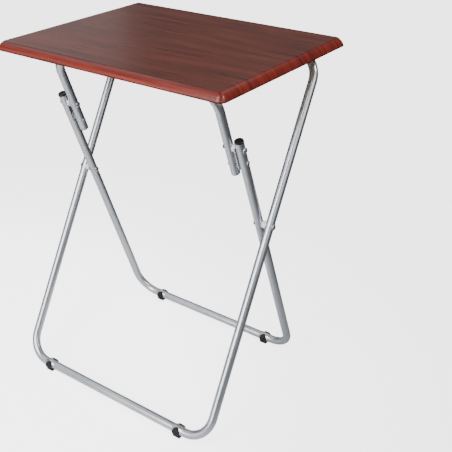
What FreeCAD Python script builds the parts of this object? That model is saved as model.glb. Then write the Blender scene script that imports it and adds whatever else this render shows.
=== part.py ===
import FreeCAD, Part
import math
import os

# Folding tray table: a wood-grain top on a crossed frame of bent steel tube.
# X runs along the long side of the top, Y across it, Z up.
# The origin is on the floor, below the centre of the top.
# Millimetres throughout.

# Top
top_length = 482.0
top_depth = 385.0
top_thickness = 15.0
table_height = 660.0
top_corner_radius = 12.0
edge_band_width = 10.5
edge_step_depth = 0.6
edge_lip_height = 2.2
edge_bulge = 1.3
foil_thickness = 0.3

# Bent tubes
tube_diameter = 16.0
tube_wall = 1.0
bend_radius = 46.0
outer_frame_width = 441.0
leg_side_gap = 6.2
support_side_gap = 7.5
butt_gap = 0.4
sleeve_length = 60.0
sleeve_wall = 1.2
sleeve_clearance = 0.05

# Where the four cross bars stand, across the table
outer_foot_y = -203.0
outer_bar_y = 136.0
inner_foot_y = 125.0
support_bar_y = -118.5

# Upper hinge overlap: inner legs end above it, support legs below it
inner_leg_end = 17.0
support_tail = 58.0

# Clips that hold the two upper bars under the top
clip_base = 2.0
clip_wall = 2.4
clip_width = 20.0
clip_ear_length = 11.0
clip_ear_thickness = 3.0
clip_ear_rounding = 4.0
clip_inset = 39.0
clip_running_clearance = 0.05

# Wood screws through the clip ears
screw_diameter = 3.4
screw_hole_clearance = 0.2
screw_bite = 9.0
screw_head_diameter = 7.0
screw_head_height = 2.4
screw_point_length = 3.0
screw_point_tip_diameter = 0.85

# Rivets, spacers and the stop
pivot_rivet_diameter = 5.0
pivot_hole_clearance = 0.05
snug_clearance = 0.02
rivet_head_diameter = 11.0
rivet_head_height = 2.8
rivet_rim_height = 0.7
stop_rivet_diameter = 4.0
stop_rivet_head_diameter = 8.5
stop_rivet_head_height = 2.0
spacer_diameter = 13.0
spacer_wrap = 4.0
moving_gap = 0.3
stop_plate_thickness = 2.0
stop_plate_width = 14.0
stop_rivet_drop = 28.0
stop_pin_drop = 38.0
stop_pin_diameter = 4.4
stop_lip = 5.0
notch_clearance = 0.3

# Plugs and feet
cap_clearance = 0.02
inner_cap_plug = 9.0
inner_cap_overhang = 0.4
inner_cap_flange = 2.6
inner_cap_rounding = 1.2
inner_cap_dish_diameter = 8.0
inner_cap_dish_depth = 0.8
support_cap_plug = 11.0
support_cap_flange = 1.6
support_cap_rounding = 0.6
foot_thickness = 4.0
foot_length = 15.0
foot_sole_width = 17.0
foot_side_wall = 1.8
foot_wrap = 8.5
foot_rounding = 1.0
foot_inset = 60.0
foot_swell_length = 24.0
foot_swell_height = 1.5
foot_stud_diameter = 4.6
foot_stud_barb = 1.0
foot_stud_tip_diameter = 2.3
foot_stud_length = 4.0
barb_clearance = 0.1

# Derived places
tube_radius = tube_diameter / 2
tube_bore = tube_radius - tube_wall
outer_leg_x = outer_frame_width / 2
inner_leg_x = outer_leg_x - tube_diameter - leg_side_gap
support_leg_x = inner_leg_x - tube_diameter - support_side_gap
underside_z = table_height - top_thickness
upper_bar_z = underside_z - clip_base - tube_radius
foot_bar_z = foot_thickness + tube_radius
rise = upper_bar_z - foot_bar_z
outer_slope = (outer_bar_y - outer_foot_y) / rise
inner_slope = (support_bar_y - inner_foot_y) / rise

X_AXIS = FreeCAD.Vector(1, 0, 0)
ORIGIN = FreeCAD.Vector(0, 0, 0)


def point(x, y, z):
    return FreeCAD.Vector(x, y, z)


def side_distance(a, b):
    return math.hypot(a[0] - b[0], a[1] - b[1])


# Side view (Y, Z) of the linkage.  The legs cross where both lines have the same Y.
cross_rise = (inner_foot_y - outer_foot_y) / (outer_slope - inner_slope)
leg_pivot = (outer_foot_y + outer_slope * cross_rise, foot_bar_z + cross_rise)
outer_bar = (outer_bar_y, upper_bar_z)
support_bar = (support_bar_y, upper_bar_z)
inner_foot = (inner_foot_y, foot_bar_z)
outer_foot = (outer_foot_y, foot_bar_z)

# The frame folds flat when outer bar to leg pivot, plus support length, equals
# leg pivot to upper hinge plus the spacing of the two upper bars.
bar_spacing = outer_bar_y - support_bar_y
outer_upper_length = side_distance(outer_bar, leg_pivot)
straight_length = side_distance(support_bar, leg_pivot)
support_length = (bar_spacing - outer_upper_length + straight_length) / 2
down_inner = (
    (leg_pivot[0] - support_bar[0]) / straight_length,
    (leg_pivot[1] - support_bar[1]) / straight_length,
)
upper_hinge = (
    support_bar[0] + down_inner[0] * support_length,
    support_bar[1] + down_inner[1] * support_length,
)


def below_hinge(distance):
    """Side-view point on the inner leg line, this far down from the upper hinge."""
    return (upper_hinge[0] + down_inner[0] * distance, upper_hinge[1] + down_inner[1] * distance)


def side_vector(direction):
    return point(0, direction[0], direction[1])


def at(x, side_point):
    return point(x, side_point[0], side_point[1])


def mirrored(shape):
    return shape.mirror(ORIGIN, X_AXIS)


def cross_cylinder(radius, x_start, x_end, side_point):
    """A cylinder along X between two planes."""
    low = min(x_start, x_end)
    high = max(x_start, x_end)
    return Part.makeCylinder(radius, high - low, at(low, side_point), X_AXIS)


def cylinder_between(radius, start, end):
    along = end.sub(start)
    return Part.makeCylinder(radius, along.Length, start, along)


def rounded_path(corners, radius):
    """Straight runs between the corner points, joined by tangent arcs."""
    edges = []
    run_start = corners[0]
    for before, corner, after in zip(corners, corners[1:], corners[2:]):
        back = before.sub(corner).normalize()
        onward = after.sub(corner).normalize()
        half_angle = back.getAngle(onward) / 2
        setback = radius / math.tan(half_angle)
        arc_start = corner + back * setback
        arc_end = corner + onward * setback
        bisector = (back + onward).normalize()
        arc_middle = corner + bisector * (radius / math.sin(half_angle) - radius)
        edges.append(Part.makeLine(run_start, arc_start))
        edges.append(Part.Arc(arc_start, arc_middle, arc_end).toShape())
        run_start = arc_end
    edges.append(Part.makeLine(run_start, corners[-1]))
    return Part.Wire(edges)


def swept_round(corners, radius):
    path = rounded_path(corners, bend_radius)
    direction = corners[1].sub(corners[0])
    circle = Part.Wire(Part.makeCircle(radius, corners[0], direction))
    return path.makePipeShell([circle], True, False)


def bent_tube(corners):
    return swept_round(corners, tube_radius).cut(swept_round(corners, tube_bore))


def turned_along_x(profile, x_face, outward, side_point):
    """Revolve a half profile of (distance out, radius) pairs; a bulging last edge closes a dome."""
    rim_out, rim_radius = profile[-2]
    crown_out = profile[-1][0]
    sphere_radius = (rim_radius ** 2 + (crown_out - rim_out) ** 2) / (2 * (crown_out - rim_out))
    middle_radius = rim_radius / 2
    middle_out = crown_out - sphere_radius + math.sqrt(sphere_radius ** 2 - middle_radius ** 2)
    points = [point(out, radius, 0) for out, radius in profile]
    edges = [Part.makeLine(a, b) for a, b in zip(points, points[1:-1])]
    edges.append(Part.Arc(points[-2], point(middle_out, middle_radius, 0), points[-1]).toShape())
    edges.append(Part.makeLine(points[-1], points[0]))
    solid = Part.Face(Part.Wire(edges)).revolve(ORIGIN, X_AXIS, 360)
    if outward < 0:
        solid = mirrored(solid)
    solid.translate(at(x_face, side_point))
    return solid


def rivet_head(diameter, height, x_face, outward, side_point):
    radius = diameter / 2
    profile = [(0, 0), (0, radius), (rivet_rim_height, radius), (height, 0)]
    return turned_along_x(profile, x_face, outward, side_point)


def solid_of(shape):
    """The one solid in a boolean result, as a plain solid."""
    cleaned = shape.removeSplitter()
    if len(cleaned.Solids) != 1:
        raise ValueError("expected one solid, found %d" % len(cleaned.Solids))
    return cleaned.Solids[0]


nodes = {}


def add_node(name, shape):
    nodes[name] = shape


def add_pair(name, right_shape):
    """A piece on the +X side and its mirror image on the -X side."""
    nodes[name + "_right"] = right_shape
    nodes[name + "_left"] = mirrored(right_shape)


# ---------------------------------------------------------------- top board and foil

def board(skin):
    """The moulded board, made smaller all over by `skin` except on its underside."""
    reach = top_corner_radius - skin
    crest = top_corner_radius - edge_band_width
    band_top = table_height - edge_step_depth
    band_foot = underside_z + edge_lip_height
    chord = point(top_corner_radius, 0, band_foot).sub(point(crest, 0, band_top))
    normal = point(-chord.z, 0, chord.x).normalize()
    centre_depth = (chord.Length ** 2 / 4 - edge_bulge ** 2) / (2 * edge_bulge)
    middle = point((top_corner_radius + crest) / 2, 0, (band_foot + band_top) / 2)
    centre = middle - normal * centre_depth
    arc_radius = centre_depth + edge_bulge - skin
    crest_u = crest - skin
    top_z = table_height - skin
    arc_top = point(crest_u, 0, centre.z + math.sqrt(arc_radius ** 2 - (crest_u - centre.x) ** 2))
    arc_foot = point(reach, 0, centre.z + math.sqrt(arc_radius ** 2 - (reach - centre.x) ** 2))
    arc_middle = centre + normal * arc_radius
    outline = [
        Part.makeLine(point(0, 0, underside_z), point(reach, 0, underside_z)),
        Part.makeLine(point(reach, 0, underside_z), arc_foot),
        Part.Arc(arc_foot, arc_middle, arc_top).toShape(),
        Part.makeLine(arc_top, point(crest_u, 0, top_z)),
        Part.makeLine(point(crest_u, 0, top_z), point(0, 0, top_z)),
        Part.makeLine(point(0, 0, top_z), point(0, 0, underside_z)),
    ]
    section = Part.Face(Part.Wire(outline))
    half_x = top_length / 2 - top_corner_radius
    half_y = top_depth / 2 - top_corner_radius
    middle_block = Part.makeBox(
        2 * half_x, 2 * half_y, top_z - underside_z, point(-half_x, -half_y, underside_z)
    )
    pieces = []
    corner_places = [(half_x, half_y), (-half_x, half_y), (-half_x, -half_y), (half_x, -half_y)]
    run_lengths = [2 * half_y, 2 * half_x, 2 * half_y, 2 * half_x]
    for turn in range(4):
        x, y = corner_places[turn]
        length = run_lengths[turn]
        corner = section.revolve(ORIGIN, point(0, 0, 1), 90)
        corner.rotate(ORIGIN, point(0, 0, 1), 90 * turn)
        corner.translate(point(x, y, 0))
        run = section.extrude(point(0, -length, 0))
        run.rotate(ORIGIN, point(0, 0, 1), 90 * turn)
        run.translate(point(x, y, 0))
        pieces += [corner, run]
    return solid_of(middle_block.multiFuse(pieces))


# Each clip sits on the straight part of its bar, this far in from where the bend begins.
outer_clip_x = outer_leg_x - bend_radius - clip_inset
support_clip_x = support_leg_x - bend_radius - clip_inset
clip_places = [
    (sign * clip_x, bar_y)
    for clip_x, bar_y in ((outer_clip_x, outer_bar_y), (support_clip_x, support_bar_y))
    for sign in (1, -1)
]
ear_reach = tube_radius + clip_wall + clip_ear_length
screw_offset = tube_radius + clip_wall + clip_ear_length / 2
screw_places = [(x, y + side * screw_offset) for x, y in clip_places for side in (1, -1)]


def screw_shape(x, y, shank_radius, head):
    """A pan-head screw driven up into the board from the underside of a clip ear."""
    ear_z = underside_z - clip_ear_thickness
    straight = clip_ear_thickness + screw_bite - screw_point_length
    shank = Part.makeCylinder(shank_radius, straight, point(x, y, ear_z))
    tip_radius = screw_point_tip_diameter / 2
    tip_base = point(x, y, ear_z + straight)
    tip = Part.makeCone(shank_radius, tip_radius, screw_point_length, tip_base)
    body = shank.fuse(tip)
    if head:
        dome = rivet_head(screw_head_diameter, screw_head_height, 0, 1, (0, 0))
        dome.rotate(ORIGIN, point(0, 1, 0), 90)
        dome.translate(point(x, y, ear_z))
        body = body.fuse(dome)
    return body


whole_board = board(0.0)
plain_core = board(foil_thickness)
foil = solid_of(whole_board.cut(plain_core))
screw_radius = screw_diameter / 2
pilot_holes = [screw_shape(x, y, screw_radius + snug_clearance, False) for x, y in screw_places]
core = plain_core
for hole in pilot_holes:
    core = core.cut(hole)
add_node("tabletop_core", solid_of(core))
add_node("tabletop_foil", foil)


# ---------------------------------------------------------------- clips and their screws

def bar_clip(x, bar_y):
    """A moulded loop round a bar with two screw ears flat against the underside."""
    centre = (bar_y, upper_bar_z)
    half = clip_width / 2
    loop = cross_cylinder(tube_radius + clip_wall, x - half, x + half, centre)
    ear_z = underside_z - clip_ear_thickness
    ear_corner = point(x - half, bar_y - ear_reach, ear_z)
    ears = Part.makeBox(clip_width, 2 * ear_reach, clip_ear_thickness, ear_corner)
    upright = [
        edge for edge in ears.Edges
        if abs(edge.Vertexes[0].Point.z - edge.Vertexes[1].Point.z) > clip_ear_thickness / 2
    ]
    ears = ears.makeFillet(clip_ear_rounding, upright)
    body = loop.fuse(ears)
    board_corner = point(x - clip_width, bar_y - 2 * ear_reach, underside_z)
    above = Part.makeBox(2 * clip_width, 4 * ear_reach, top_thickness, board_corner)
    body = body.cut(above)
    bore = cross_cylinder(tube_radius + clip_running_clearance, x - clip_width, x + clip_width, centre)
    body = body.cut(bore)
    for side in (1, -1):
        hole_place = point(x, bar_y + side * screw_offset, ear_z - clip_wall)
        hole_radius = screw_radius + screw_hole_clearance
        body = body.cut(Part.makeCylinder(hole_radius, clip_ear_thickness + 2 * clip_wall, hole_place))
    return solid_of(body)


add_pair("outer_bar_clip", bar_clip(outer_clip_x, outer_bar_y))
add_pair("support_bar_clip", bar_clip(support_clip_x, support_bar_y))
screws = [solid_of(screw_shape(x, y, screw_radius, True)) for x, y in screw_places]
add_node("clip_screws", Part.makeCompound(screws))


# ---------------------------------------------------------------- bent tube frames

beyond = 2 * tube_diameter
pivot_radius = pivot_rivet_diameter / 2
stop_rivet_radius = stop_rivet_diameter / 2
stop_pin_radius = stop_pin_diameter / 2
stud_radius = foot_stud_diameter / 2


def drilled(frame, radius, leg_x, side_point):
    """Cross holes through both walls of both legs."""
    for sign in (1, -1):
        hole = cross_cylinder(radius, sign * leg_x - beyond / 2, sign * leg_x + beyond / 2, side_point)
        frame = frame.cut(hole)
    return frame


def foot_swell(x, foot_y):
    """The foot bar is swelled a little all round where a foot sits: a ring with an arched outline."""
    half = foot_swell_length / 2
    mid_wall = tube_radius - tube_wall / 2
    rims = [point(side * half, mid_wall, 0) for side in (-1, 1)]
    crown = point(0, tube_radius + foot_swell_height, 0)
    edges = [Part.Arc(rims[0], crown, rims[1]).toShape(), Part.makeLine(rims[1], rims[0])]
    ring = Part.Face(Part.Wire(edges)).revolve(ORIGIN, X_AXIS, 360)
    ring.translate(point(x, foot_y, foot_bar_z))
    return ring


def foot_seats(frame, leg_x, foot_y):
    """Both foot seats of a bar: the swelling, and a hole in its underside for the foot's stud."""
    for sign in (1, -1):
        x = sign * (leg_x - foot_inset)
        frame = frame.fuse(foot_swell(x, foot_y))
        stud_hole = Part.makeCylinder(stud_radius + snug_clearance, foot_bar_z, point(x, foot_y, 0))
        frame = frame.cut(stud_hole)
    return frame


half_butt = butt_gap / 2
outer_corners = [
    point(half_butt, *outer_bar),
    at(outer_leg_x, outer_bar),
    at(outer_leg_x, outer_foot),
    at(-outer_leg_x, outer_foot),
    at(-outer_leg_x, outer_bar),
    point(-half_butt, *outer_bar),
]
outer_frame = bent_tube(outer_corners)
outer_frame = drilled(outer_frame, pivot_radius + snug_clearance, outer_leg_x, leg_pivot)
outer_frame = foot_seats(outer_frame, outer_leg_x, outer_foot_y)
add_node("outer_leg_frame", solid_of(outer_frame))

sleeve_radius = tube_bore - sleeve_clearance
sleeve = cross_cylinder(sleeve_radius, -sleeve_length / 2, sleeve_length / 2, outer_bar)
sleeve_bore = cross_cylinder(sleeve_radius - sleeve_wall, -sleeve_length, sleeve_length, outer_bar)
add_node("outer_frame_sleeve", solid_of(sleeve.cut(sleeve_bore)))

inner_top = below_hinge(-inner_leg_end)
inner_corners = [
    at(inner_leg_x, inner_top),
    at(inner_leg_x, inner_foot),
    at(-inner_leg_x, inner_foot),
    at(-inner_leg_x, inner_top),
]
inner_frame = bent_tube(inner_corners)
inner_frame = drilled(inner_frame, pivot_radius + snug_clearance, inner_leg_x, leg_pivot)
inner_frame = drilled(inner_frame, pivot_radius + snug_clearance, inner_leg_x, upper_hinge)
stop_rivet_place = below_hinge(stop_rivet_drop)
inner_frame = drilled(inner_frame, stop_rivet_radius + snug_clearance, inner_leg_x, stop_rivet_place)
inner_frame = foot_seats(inner_frame, inner_leg_x, inner_foot_y)
add_node("inner_leg_frame", solid_of(inner_frame))

support_end = below_hinge(support_tail)
support_corners = [
    at(support_leg_x, support_end),
    at(support_leg_x, support_bar),
    at(-support_leg_x, support_bar),
    at(-support_leg_x, support_end),
]
stop_pin_place = below_hinge(stop_pin_drop)
support_frame = bent_tube(support_corners)
support_frame = drilled(support_frame, pivot_radius + pivot_hole_clearance, support_leg_x, upper_hinge)
support_frame = drilled(support_frame, stop_pin_radius + snug_clearance, support_leg_x, stop_pin_place)
add_node("top_support_frame", solid_of(support_frame))


# ---------------------------------------------------------------- lower crossing pivot

outer_leg_outside = outer_leg_x + tube_radius
inner_leg_outside = inner_leg_x + tube_radius
inner_leg_inside = inner_leg_x - tube_radius
support_leg_outside = support_leg_x + tube_radius
support_leg_inside = support_leg_x - tube_radius

# The crossing rivet is parted at the inner leg's outer side, so each half stays with its own legs.
crossing_face = inner_leg_outside + moving_gap
outer_half = cross_cylinder(pivot_radius, crossing_face, outer_leg_outside, leg_pivot)
outer_head = rivet_head(rivet_head_diameter, rivet_head_height, outer_leg_outside, 1, leg_pivot)
outer_half = outer_half.fuse(outer_head)
add_pair("crossing_rivet_outer", solid_of(outer_half))

inner_half = cross_cylinder(pivot_radius, inner_leg_inside, inner_leg_outside, leg_pivot)
inner_head = rivet_head(rivet_head_diameter, rivet_head_height, inner_leg_inside, -1, leg_pivot)
inner_half = inner_half.fuse(inner_head)
add_pair("crossing_rivet_inner", solid_of(inner_half))


def spacer(x_start, x_end, side_point, saddle):
    """A nylon spacer; where it meets its own leg it is hollowed to sit on the round tube."""
    body = cross_cylinder(spacer_diameter / 2, x_start, x_end, side_point)
    bore_radius = pivot_radius + snug_clearance
    body = body.cut(cross_cylinder(bore_radius, x_start - beyond, x_end + beyond, side_point))
    return solid_of(body.cut(saddle)) if saddle else solid_of(body)


outer_leg_bar = cylinder_between(tube_radius, at(outer_leg_x, outer_foot), at(outer_leg_x, outer_bar))
saddle_reach = outer_leg_x - tube_radius + spacer_wrap
add_pair("crossing_spacer", spacer(crossing_face, saddle_reach, leg_pivot, outer_leg_bar))


# ---------------------------------------------------------------- upper hinge and its stop

plate_inside = inner_leg_inside - stop_plate_thickness
hinge_head_face = support_leg_inside - moving_gap
hinge_rivet = cross_cylinder(pivot_radius, hinge_head_face, inner_leg_outside, upper_hinge)
hinge_rivet = hinge_rivet.multiFuse([
    rivet_head(rivet_head_diameter, rivet_head_height, inner_leg_outside, 1, upper_hinge),
    rivet_head(rivet_head_diameter, rivet_head_height, hinge_head_face, -1, upper_hinge),
])
add_pair("hinge_rivet", solid_of(hinge_rivet))
add_pair("hinge_spacer", spacer(support_leg_outside + moving_gap, plate_inside, upper_hinge, None))

stop_rivet = cross_cylinder(stop_rivet_radius, plate_inside, inner_leg_outside, stop_rivet_place)
stop_rivet = stop_rivet.multiFuse([
    rivet_head(stop_rivet_head_diameter, stop_rivet_head_height, inner_leg_outside, 1, stop_rivet_place),
    rivet_head(stop_rivet_head_diameter, stop_rivet_head_height, plate_inside, -1, stop_rivet_place),
])
add_pair("stop_plate_rivet", solid_of(stop_rivet))


def plate_blank():
    """A strip with two round ends, in the leg's own direction, against the inner leg."""
    half = stop_plate_width / 2
    lower_end = below_hinge(stop_pin_drop + stop_pin_radius + stop_lip - half)
    across = point(0, -down_inner[1], down_inner[0])
    corner = at(plate_inside, upper_hinge) - across * half
    strip_length = side_distance(lower_end, upper_hinge)
    along = side_vector(down_inner) * strip_length
    side = across * stop_plate_width
    outline = Part.makePolygon([corner, corner + along, corner + along + side, corner + side, corner])
    strip = Part.Face(outline).extrude(X_AXIS * stop_plate_thickness)
    ends = [cross_cylinder(half, plate_inside, inner_leg_inside, end) for end in (upper_hinge, lower_end)]
    return strip.multiFuse(ends)


def stop_notch():
    """Open towards +Y: the pin swings out of it on its arc round the upper hinge."""
    radius = stop_pin_radius + notch_clearance
    reach = stop_plate_width
    arc_drop = stop_pin_drop - math.sqrt(stop_pin_drop ** 2 - (stop_plate_width / 2) ** 2)
    open_side = point(0, -down_inner[1], down_inner[0])
    along = side_vector(down_inner)
    start = at(plate_inside, stop_pin_place)
    upper_corner = start - along * (radius + arc_drop)
    lower_corner = start + along * radius
    out = open_side * reach
    outline = Part.makePolygon([
        upper_corner, upper_corner + out, lower_corner + out, lower_corner, upper_corner,
    ])
    slot = Part.Face(outline).extrude(X_AXIS * stop_plate_thickness)
    seat = cross_cylinder(radius, plate_inside, inner_leg_inside, stop_pin_place)
    return slot.fuse(seat)


plate = plate_blank().cut(stop_notch())
plate = plate.cut(cross_cylinder(pivot_radius + snug_clearance, 0, outer_leg_x, upper_hinge))
plate = plate.cut(cross_cylinder(stop_rivet_radius + snug_clearance, 0, outer_leg_x, stop_rivet_place))
add_pair("stop_plate", solid_of(plate))

pin_end = inner_leg_inside - moving_gap
stop_pin = cross_cylinder(stop_pin_radius, support_leg_inside, pin_end, stop_pin_place)
stop_pin = stop_pin.fuse(
    rivet_head(stop_rivet_head_diameter, stop_rivet_head_height, support_leg_inside, -1, stop_pin_place)
)
add_pair("stop_pin", solid_of(stop_pin))


# ---------------------------------------------------------------- plugs in the open tube ends

def tube_plug(x, end_point, outward, plug_length, flange_radius, flange_height, rounding):
    """A moulded plug: a stem in the tube and a flange with a rounded rim over its end."""
    end = at(x, end_point)
    direction = side_vector(outward)
    face = end + direction * flange_height
    flange = cylinder_between(flange_radius, end, face)
    rim = [edge for edge in flange.Edges if edge.CenterOfMass.distanceToPoint(face) < rounding / 2]
    flange = flange.makeFillet(rounding, rim)
    stem = cylinder_between(tube_bore - cap_clearance, end - direction * plug_length, end)
    return stem.fuse(flange)


up_inner = (-down_inner[0], -down_inner[1])
inner_cap = tube_plug(
    inner_leg_x, inner_top, up_inner, inner_cap_plug,
    tube_radius + inner_cap_overhang, inner_cap_flange, inner_cap_rounding,
)
cap_face = at(inner_leg_x, inner_top) + side_vector(up_inner) * inner_cap_flange
dish_floor = cap_face - side_vector(up_inner) * inner_cap_dish_depth
dish = cylinder_between(inner_cap_dish_diameter / 2, dish_floor, cap_face)
add_pair("inner_leg_cap", solid_of(inner_cap.cut(dish)))
support_cap = tube_plug(
    support_leg_x, support_end, down_inner, support_cap_plug,
    tube_radius, support_cap_flange, support_cap_rounding,
)
add_pair("support_leg_cap", solid_of(support_cap))


# ---------------------------------------------------------------- feet

def foot(leg_x, foot_y):
    """A moulded saddle with arched sides, held by a barbed stud in the bar's underside."""
    x = leg_x - foot_inset
    centre = (foot_y, foot_bar_z)
    half = foot_length / 2
    wrap_radius = tube_radius + foot_swell_height + foot_side_wall
    wrap = cross_cylinder(wrap_radius, x - half, x + half, centre)
    sole_corner = point(x - half, foot_y - foot_sole_width / 2, 0)
    sole = Part.makeBox(foot_length, foot_sole_width, foot_bar_z, sole_corner)
    body = wrap.fuse(sole)
    # Seen from the front the foot is a block with a round top as wide as itself.
    arch_z = foot_bar_z + foot_wrap - half
    depth = 2 * foot_length
    block = Part.makeBox(foot_length, depth, arch_z, point(x - half, foot_y - foot_length, 0))
    arch = Part.makeCylinder(half, depth, point(x, foot_y - foot_length, arch_z), point(0, 1, 0))
    body = solid_of(body.common(block.fuse(arch)))
    sole_edges = [edge for edge in body.Edges if edge.BoundBox.ZMax < foot_rounding / 2]
    body = body.makeFillet(foot_rounding, sole_edges)
    body = body.cut(cross_cylinder(tube_radius, x - foot_length, x + foot_length, centre))
    body = body.cut(foot_swell(x, foot_y))
    # The barb's shoulder clears the round bore of the tube at its own radius.
    barb_radius = stud_radius + foot_stud_barb
    shoulder_z = foot_bar_z - math.sqrt(tube_bore ** 2 - barb_radius ** 2) + barb_clearance
    stud_base = (foot_thickness - foot_swell_height) / 2
    stud = Part.makeCylinder(stud_radius, shoulder_z - stud_base, point(x, foot_y, stud_base))
    barb_base = point(x, foot_y, shoulder_z)
    barb = Part.makeCone(barb_radius, foot_stud_tip_diameter / 2, foot_stud_length, barb_base)
    return solid_of(body.multiFuse([stud, barb]))


add_pair("outer_foot", foot(outer_leg_x, outer_foot_y))
add_pair("inner_foot", foot(inner_leg_x, inner_foot_y))


# ---------------------------------------------------------------- files and hinge report

os.makedirs("parts", exist_ok=True)
for name, shape in nodes.items():
    shape.exportStep("parts/" + name + ".step")
    print("%-26s %10.1f mm3  %s" % (name, shape.Volume, "valid" if shape.isValid() else "INVALID"))

lean_outer = math.degrees(math.atan(outer_slope))
lean_inner = math.degrees(math.atan(-inner_slope))
leg_angle = lean_outer + lean_inner
print("outer bar hinge   y %.4f z %.4f, fold %.4f deg" % (*outer_bar, 90 - lean_outer))
print("support bar hinge y %.4f z %.4f" % support_bar)
print("upper hinge       y %.4f z %.4f" % upper_hinge)
print("crossing pivot    y %.4f z %.4f, legs open %.4f deg" % (*leg_pivot, leg_angle))
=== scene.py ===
import math

import bpy
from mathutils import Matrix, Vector


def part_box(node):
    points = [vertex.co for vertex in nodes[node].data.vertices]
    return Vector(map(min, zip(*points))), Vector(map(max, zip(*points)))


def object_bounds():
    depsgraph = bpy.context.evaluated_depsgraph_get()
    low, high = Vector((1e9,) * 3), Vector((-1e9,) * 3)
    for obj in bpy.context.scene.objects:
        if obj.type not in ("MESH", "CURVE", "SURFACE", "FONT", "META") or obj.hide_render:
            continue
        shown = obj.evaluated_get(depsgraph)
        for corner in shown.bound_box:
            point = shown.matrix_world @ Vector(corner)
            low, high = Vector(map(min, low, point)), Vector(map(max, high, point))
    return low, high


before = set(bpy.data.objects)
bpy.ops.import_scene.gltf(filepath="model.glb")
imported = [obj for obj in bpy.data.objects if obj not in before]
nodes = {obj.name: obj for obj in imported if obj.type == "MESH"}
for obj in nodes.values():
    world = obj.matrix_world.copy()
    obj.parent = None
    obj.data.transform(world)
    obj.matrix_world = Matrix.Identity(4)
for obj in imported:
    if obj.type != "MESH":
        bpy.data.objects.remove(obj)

cad_low, cad_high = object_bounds()
bpy.ops.object.select_all(action="DESELECT")


# ---------------------------------------------------------------- camera
# The table is seen from its right front corner and a little above.
# The lens is shifted sideways and down, which puts the table left of centre with its feet in view.

view_azimuth = math.radians(36.0)
view_elevation = math.radians(24.99)
view_distance = 1.5266
view_target = Vector((0.0410, 0.0373, 0.3917))
lens_mm = 64.02
lens_shift_across = 0.05
lens_shift_up = -0.11
far_clip = 50.0

level = math.cos(view_elevation)
backward = Vector((
    math.sin(view_azimuth) * level,
    -math.cos(view_azimuth) * level,
    math.sin(view_elevation),
))
bpy.ops.object.camera_add(location=view_target + backward * view_distance)
camera = bpy.context.object
camera.name = "camera"
camera.rotation_mode = "QUATERNION"
camera.rotation_quaternion = (-backward).to_track_quat("-Z", "Y")
camera.data.lens = lens_mm
camera.data.shift_x = lens_shift_across
camera.data.shift_y = lens_shift_up
camera.data.clip_end = far_clip
bpy.context.scene.camera = camera


# ---------------------------------------------------------------- studio
# A plain pale floor and an even surround.  One large key panel stands in front, with dimmer wide
# ones to the left, right and back, and small high ones for the gloss on the top's edges.
# Away from the table the floor's colour darkens as painted shade, so it bounces little light, which
# gives the tubes dark outlines.

class Value:
    """An output socket.  Arithmetic on a number adds its Math nodes."""

    def __init__(self, finish, socket):
        self.finish = finish
        self.socket = socket

    def __add__(self, other):
        return self.finish.math("ADD", self, other)

    __radd__ = __add__

    def __sub__(self, other):
        return self.finish.math("SUBTRACT", self, other)

    def __rsub__(self, other):
        return self.finish.math("SUBTRACT", other, self)

    def __mul__(self, other):
        return self.finish.math("MULTIPLY", self, other)

    __rmul__ = __mul__


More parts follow.
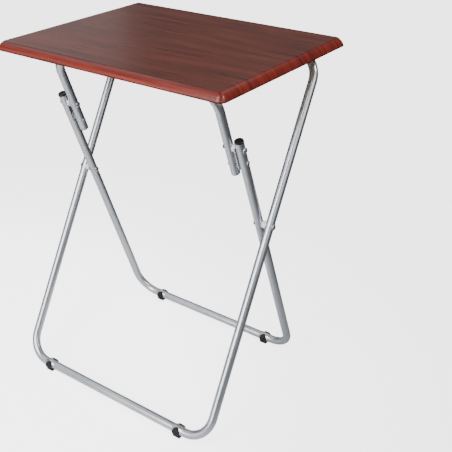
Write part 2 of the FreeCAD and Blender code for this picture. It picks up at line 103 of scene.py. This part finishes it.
class Finish:
    """A material, or the world, that is built up node by node."""

    def __init__(self, owner):
        owner.use_nodes = True
        self.owner = owner
        self.tree = owner.node_tree
        self.tree.nodes.clear()

    def node(self, kind, settings=None, inputs=None, output=0):
        """One node: its settings first, then the values or links of its sockets."""
        made = self.tree.nodes.new(kind)
        for name, setting in (settings or {}).items():
            if name == "stops":
                ramp = made.color_ramp
                while len(ramp.elements) < len(setting):
                    ramp.elements.new(0.5)
                for element, (place, colour) in zip(ramp.elements, setting):
                    element.position = place
                    element.color = (*colour, 1.0)
            else:
                setattr(made, name, setting)
        for name, value in (inputs or {}).items():
            self.feed(made.inputs[name], value)
        if made.outputs:
            return Value(self, made.outputs[output])

    def feed(self, socket, value):
        """Link a value to a socket, or set a constant there; a colour gets its alpha."""
        if isinstance(value, Value):
            self.tree.links.new(value.socket, socket)
        elif isinstance(value, tuple) and len(value) == 3 and len(socket.default_value) == 4:
            socket.default_value = (*value, 1.0)
        else:
            socket.default_value = value

    def math(self, operation, *values):
        return self.node("ShaderNodeMath", {"operation": operation}, dict(enumerate(values)))

    def noise(self, stretch, scale=1.0, detail=3.0, roughness=0.5, where=None):
        """Noise on Object coordinates in metres, or on a place of its own, after stretching it."""
        if where is None:
            where = self.node("ShaderNodeTexCoord", output="Object")
        stretched = self.node("ShaderNodeMapping", None, {"Vector": where, "Scale": stretch})
        sockets = {"Vector": stretched, "Scale": scale, "Detail": detail, "Roughness": roughness}
        return self.node("ShaderNodeTexNoise", None, sockets, "Fac")

    def step(self, value, start, end, low=0.0, high=1.0):
        """A smooth step from low to high while value goes from start to end."""
        sockets = {"Value": value, "From Min": start, "From Max": end, "To Min": low, "To Max": high}
        return self.node("ShaderNodeMapRange", {"interpolation_type": "SMOOTHSTEP"}, sockets, "Result")

    def ramp(self, value, stops):
        return self.node("ShaderNodeValToRGB", {"stops": stops}, {"Fac": value}, "Color")

    def blend(self, amount, first, second):
        """Mix two colours; the Mix node's colour sockets are numbers 6 and 7, and its result is 2."""
        sockets = {0: amount, 6: first, 7: second}
        return self.node("ShaderNodeMix", {"data_type": "RGBA"}, sockets, 2)

    def axis(self, letter):
        place = self.node("ShaderNodeTexCoord", output="Object")
        return self.node("ShaderNodeSeparateXYZ", None, {"Vector": place}, letter)

    def bump(self, height, distance, strength):
        sockets = {"Height": height, "Distance": distance, "Strength": strength}
        return self.node("ShaderNodeBump", None, sockets, "Normal")

    def surface(self, **sockets):
        """The closing shader; an underscore in a name stands for a space in the socket's name."""
        named = {name.replace("_", " "): value for name, value in sockets.items()}
        shader = self.node("ShaderNodeBsdfPrincipled", None, named, "BSDF")
        self.node("ShaderNodeOutputMaterial", None, {"Surface": shader})
        return self.owner


def new_finish(name):
    return Finish(bpy.data.materials.new(name))


floor_size = 12.0
floor_glow = 3.4
pool_middle = (-0.35, -0.33, 0.0)
pool_radius = 0.42
shade_radius = 0.80
painted_unlit_radius = 1.10
shaded_paper = (0.31, 0.31, 0.315)
painted_unlit_paper = (0.06, 0.06, 0.062)
black = (0.0, 0.0, 0.0)
white = (1.0, 1.0, 1.0)

bpy.ops.mesh.primitive_plane_add(size=floor_size, location=(0, 0, 0))
floor = bpy.context.object
floor.name = "studio_floor"
paper = new_finish("studio_paper")
mottle = paper.noise((3.0, 3.0, 3.0), detail=4.0)
paper_colour = paper.ramp(mottle, [(0.3, (0.87, 0.87, 0.87)), (0.7, (0.90, 0.90, 0.895))])
floor_place = paper.node("ShaderNodeTexCoord", output="Object")
away = paper.node(
    "ShaderNodeVectorMath", {"operation": "DISTANCE"}, {0: floor_place, 1: pool_middle}, "Value"
)
# A painted pool of light: the paper keeps its pale colour near the front left of the table, and
# further out it is painted shaded, then unlit.
paper_colour = paper.blend(paper.step(away, pool_radius, shade_radius), paper_colour, shaded_paper)
paper_colour = paper.blend(paper.step(away, shade_radius, painted_unlit_radius), paper_colour, painted_unlit_paper)
# The floor shows evenly white, but sends only the light that it bounces on to the table.
seen_directly = paper.node("ShaderNodeLightPath", output="Is Camera Ray")
floor.data.materials.append(paper.surface(
    Base_Color=paper_colour,
    Roughness=0.9,
    Emission_Color=paper.blend(seen_directly, black, white),
    Emission_Strength=floor_glow,
))

table_middle = (cad_low + cad_high) / 2


def soft_light(name, azimuth, elevation, size, power, distance=2.4):
    """A panel of that width and height, aimed at the middle of the table."""
    a = math.radians(azimuth)
    e = math.radians(elevation)
    out = Vector((math.sin(a) * math.cos(e), -math.cos(a) * math.cos(e), math.sin(e)))
    bpy.ops.object.light_add(type="AREA", location=table_middle + out * distance)
    light = bpy.context.object
    light.name = name
    light.data.shape = "RECTANGLE"
    light.data.size, light.data.size_y = size
    light.data.energy = power
    light.rotation_mode = "QUATERNION"
    light.rotation_quaternion = out.to_track_quat("Z", "Y")


soft_light("key_panel", azimuth=-4, elevation=29, size=(1.8, 2.3), power=84)
soft_light("left_panel", azimuth=-44, elevation=22, size=(0.9, 1.0), power=4)
soft_light("high_left_panel", azimuth=-92, elevation=52, size=(2.0, 1.3), power=10)
soft_light("right_panel", azimuth=72, elevation=25, size=(1.8, 1.2), power=15)
soft_light("high_right_panel", azimuth=108, elevation=46, size=(0.5, 0.5), power=15)
soft_light("high_front_panel", azimuth=-2, elevation=58, size=(0.5, 0.4), power=7)
soft_light("back_left_panel", azimuth=-125, elevation=20, size=(1.1, 0.8), power=1.15, distance=2.8)
soft_light("back_panel", azimuth=182, elevation=56, size=(2.0, 1.0), power=9)

room_glow = 0.16
room_tint = (0.96, 0.98, 1.0)
surround = bpy.data.worlds.new("surround")
bpy.context.scene.world = surround
air = Finish(surround)
seen_sky = air.node("ShaderNodeLightPath", output="Is Camera Ray")
glow = air.step(seen_sky, 0.0, 1.0, room_glow, floor_glow)
background = air.node(
    "ShaderNodeBackground", None, {"Color": room_tint, "Strength": glow}, "Background"
)
air.node("ShaderNodeOutputWorld", None, {"Surface": background})


# ---------------------------------------------------------------- tabletop
# A fibreboard panel with a moulded edge.  A printed wood-grain foil is pressed over its
# face and edge in one piece, so the grain runs on down over the moulding.

foil_low, foil_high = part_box("tabletop_foil")
half_length = foil_high[0]
half_depth = foil_high[1]
foil_top = foil_high[2]
foil_bottom = foil_low[2]
band_width = 0.0105
grain_wander = 0.014
pore_strength = 0.55
pore_colour = (0.055, 0.016, 0.012)
pore_depth = 0.00006

# A painted shade line: a dark band painted along the top of each long moulding, by its drop below the
# face
painted_shade_line_start = 0.0030
painted_shade_line_end = 0.0056
painted_shade_line_strength = 0.62
painted_shade_line_colour = (0.070, 0.012, 0.008)

# Painted shade in the crease where the face turns down, by the distance out past that turn, and along
# the lower edge
crease_start = -0.0032
crease_full = -0.0004
crease_fading = 0.0003
crease_end = 0.0014
crease_on_short_side = 0.10
crease_more_on_long_side = 0.40
low_edge_start = 0.0016
low_edge_full = 0.0006
low_edge_shade_strength = 0.85
crease_shade_colour = (0.030, 0.008, 0.006)

foil = new_finish("mahogany_foil")
along_x = foil.axis("X")
across_y = foil.axis("Y")
up_z = foil.axis("Z")
past_x = foil.math("ABSOLUTE", along_x) - (half_length - band_width)
past_y = foil.math("ABSOLUTE", across_y) - (half_depth - band_width)
past_face = foil.math("MAXIMUM", past_x, past_y)
# The print is laid out flat: down a long side the drop counts as more width, and down a
# short side the streaks run straight on.
on_long_side = foil.math("GREATER_THAN", past_y, past_x)
side_sign = foil.math("SIGN", across_y)
drop = foil_top - up_z
drift = foil.noise((1.6, 5.0, 0.0), detail=2.0)
grain_y = across_y + drop * on_long_side * side_sign + (drift - 0.5) * grain_wander
grain_place = foil.node("ShaderNodeCombineXYZ", None, {"X": along_x, "Y": grain_y}, "Vector")

fine = foil.noise((7.0, 210.0, 1.0), detail=4.0, roughness=0.60, where=grain_place)
broad = foil.noise((2.2, 46.0, 1.0), where=grain_place)
pores = foil.noise((26.0, 820.0, 1.0), detail=2.0, where=grain_place)
tone = fine * 0.68 + broad * 0.32
pore_mask = foil.step(pores, 0.60, 0.70)
face_colour = foil.ramp(tone, [
    (0.38, (0.043, 0.009, 0.005)), (0.49, (0.092, 0.018, 0.011)),
    (0.58, (0.130, 0.028, 0.017)), (0.69, (0.186, 0.046, 0.029)),
])
edge_colour = foil.ramp(tone, [
    (0.38, (0.078, 0.006, 0.003)), (0.49, (0.165, 0.012, 0.005)),
    (0.58, (0.238, 0.019, 0.008)), (0.69, (0.335, 0.040, 0.016)),
])
on_band = foil.step(past_face, -0.0012, 0.0004)
# Painted shade: a dark band along the top of each long moulding, laid over the printed grain.
painted_shade_line = on_band * on_long_side * foil.step(drop, painted_shade_line_end, painted_shade_line_start)
# Painted shade: darker in the crease where the face turns down and along the lower edge of the
# moulding.
crease = foil.step(past_face, crease_start, crease_full)
crease = crease * foil.step(past_face, crease_end, crease_fading)
crease = crease * (crease_on_short_side + on_long_side * crease_more_on_long_side)
low_edge_shade = foil.step(up_z, foil_bottom + low_edge_start, foil_bottom + low_edge_full)
painted_shade = foil.math("MAXIMUM", crease, low_edge_shade * low_edge_shade_strength)
printed = foil.blend(on_band, face_colour, edge_colour)
printed = foil.blend(painted_shade_line * painted_shade_line_strength, printed, painted_shade_line_colour)
printed = foil.blend(pore_mask * pore_strength, printed, pore_colour)
printed = foil.blend(painted_shade, printed, crease_shade_colour)
foil_finish = foil.surface(
    Base_Color=printed,
    Roughness=0.24 + fine * 0.10 + pore_mask * 0.12,
    Normal=foil.bump(fine * 0.4 - pore_mask * 0.6, pore_depth, 0.5),
    Specular_IOR_Level=0.5,
)


def dress(material, *names):
    """Put a finish on CAD nodes."""
    for name in names:
        for slot in nodes[name].material_slots:
            slot.material = material


dress(foil_finish, "tabletop_foil")

fluff_depth = 0.00012
fibre = new_finish("raw_fibreboard")
fluff = fibre.noise((900.0, 900.0, 900.0), roughness=0.7)
cloudy = fibre.noise((14.0, 14.0, 14.0))
board_colour = fibre.ramp(fluff * 0.7 + cloudy * 0.4, [
    (0.40, (0.235, 0.145, 0.080)), (0.56, (0.330, 0.215, 0.125)), (0.72, (0.430, 0.300, 0.185)),
])
board_finish = fibre.surface(
    Base_Color=board_colour,
    Roughness=0.82 + fluff * 0.1,
    Normal=fibre.bump(fluff, fluff_depth, 0.6),
)
dress(board_finish, "tabletop_core")


# ---------------------------------------------------------------- bent tube frames
# Three frames of thin round steel tube, bent on a former and sprayed with silver-grey
# metallic paint that shows a faint sparkle and orange peel, and scuffs by the feet.

sparkle_scale = 2600.0
peel_scale = 420.0
peel_depth = 0.00002
scuffs_begin = 0.030
scuffs_full = 0.008
scuff_strength = 0.6
scuff_colour = (0.17, 0.17, 0.175)

paint = new_finish("silver_paint")
sparkle = paint.noise((1.0, 1.0, 1.0), scale=sparkle_scale, detail=1.0)
peel = paint.noise((1.0, 1.0, 1.0), scale=peel_scale, detail=2.0)
patch = paint.noise((9.0, 9.0, 9.0))
paint_colour = paint.ramp(sparkle * 0.30 + patch * 0.70, [
    (0.36, (0.515, 0.542, 0.585)), (0.50, (0.575, 0.603, 0.648)), (0.66, (0.640, 0.664, 0.702)),
])
rubbed = paint.noise((60.0, 60.0, 60.0), detail=4.0, roughness=0.7)
by_the_feet = paint.step(paint.axis("Z"), scuffs_begin, scuffs_full)
scuffs = paint.step(rubbed, 0.60, 0.70) * by_the_feet
paint_colour = paint.blend(scuffs * scuff_strength, paint_colour, scuff_colour)
paint_finish = paint.surface(
    Base_Color=paint_colour,
    Metallic=0.92,
    Roughness=0.25 + patch * 0.08 + scuffs * 0.25,
    Normal=paint.bump(peel, peel_depth, 0.08),
)
dress(paint_finish, "outer_leg_frame", "inner_leg_frame", "top_support_frame")


# ---------------------------------------------------------------- rivets, stops, sleeve and screws
# Zinc-plated steel: rivets headed over at both ends, a blanked stop plate and its pin at each
# upper hinge, the plain sleeve inside the outer frame's joint, and the screws of the clips.

rub_depth = 0.00002
zinc = new_finish("zinc_plate")
bloom = zinc.noise((240.0, 240.0, 240.0), roughness=0.6)
rub = zinc.noise((70.0, 900.0, 900.0), detail=2.0)
zinc_colour = zinc.ramp(bloom * 0.6 + rub * 0.4, [
    (0.38, (0.52, 0.53, 0.55)), (0.52, (0.68, 0.69, 0.70)), (0.66, (0.80, 0.80, 0.80)),
])
zinc_finish = zinc.surface(
    Base_Color=zinc_colour,
    Metallic=1.0,
    Roughness=0.20 + bloom * 0.16,
    Normal=zinc.bump(rub, rub_depth, 0.4),
)
sides = ("left", "right")
for side in sides:
    dress(
        zinc_finish, "crossing_rivet_outer_" + side, "crossing_rivet_inner_" + side,
        "hinge_rivet_" + side, "stop_plate_" + side, "stop_plate_rivet_" + side, "stop_pin_" + side,
    )
dress(zinc_finish, "outer_frame_sleeve", "clip_screws")


# ---------------------------------------------------------------- nylon spacers
# Washers between the tubes at the leg crossings and the upper hinges, held on the rivets.
# They are moulded from natural white nylon, slightly waxy, with a faint yellow cast.

grit_scale = 1500.0
grit_depth = 0.00004
nylon = new_finish("white_nylon")
milk = nylon.noise((120.0, 120.0, 120.0))
grit = nylon.noise((1.0, 1.0, 1.0), scale=grit_scale, detail=2.0)
nylon_colour = nylon.ramp(milk, [(0.35, (0.84, 0.83, 0.80)), (0.65, (0.92, 0.92, 0.90))])
nylon_finish = nylon.surface(
    Base_Color=nylon_colour,
    Roughness=0.38 + grit * 0.14,
    Normal=nylon.bump(grit, grit_depth, 0.4),
)
for side in sides:
    dress(nylon_finish, "crossing_spacer_" + side, "hinge_spacer_" + side)


# ---------------------------------------------------------------- tube plugs and bar clips
# Black polyethylene plugs in the open tube ends, and black clips that hold the two upper
# bars under the top.  All are moulded with a fine spark texture.

spark_scale = 1900.0
spark_depth = 0.00005
plastic = new_finish("black_plastic")
spark = plastic.noise((1.0, 1.0, 1.0), scale=spark_scale, detail=2.0)
sheen = plastic.noise((55.0, 55.0, 55.0))
plastic_colour = plastic.ramp(sheen, [(0.35, (0.006, 0.006, 0.007)), (0.65, (0.014, 0.014, 0.015))])
plastic_finish = plastic.surface(
    Base_Color=plastic_colour,
    Roughness=0.36 + spark * 0.16,
    Specular_IOR_Level=0.35,
    Normal=plastic.bump(spark, spark_depth, 0.5),
)
for side in sides:
    dress(
        plastic_finish, "inner_leg_cap_" + side, "support_leg_cap_" + side,
        "outer_bar_clip_" + side, "support_bar_clip_" + side,
    )


# ---------------------------------------------------------------- feet
# Moulded black rubber saddles, each held under a foot bar by a barbed stud pushed into it.
# The rubber is matt, and dusty towards the sole.

dust_top = 0.006
dust_strength = 0.4
dust_colour = (0.10, 0.097, 0.090)
rubber_grain_depth = 0.00008
rubber = new_finish("black_rubber")
dust_spots = rubber.noise((260.0, 260.0, 260.0), detail=4.0, roughness=0.65)
dust = rubber.step(rubber.axis("Z"), dust_top, 0.0) * dust_spots
rubber_colour = rubber.ramp(dust_spots, [(0.3, (0.007, 0.007, 0.007)), (0.7, (0.013, 0.013, 0.013))])
rubber_colour = rubber.blend(dust * dust_strength, rubber_colour, dust_colour)
rubber_finish = rubber.surface(
    Base_Color=rubber_colour,
    Roughness=0.55 + dust_spots * 0.2,
    Specular_IOR_Level=0.3,
    Normal=rubber.bump(dust_spots, rubber_grain_depth, 0.5),
)
for side in sides:
    dress(rubber_finish, "outer_foot_" + side, "inner_foot_" + side)
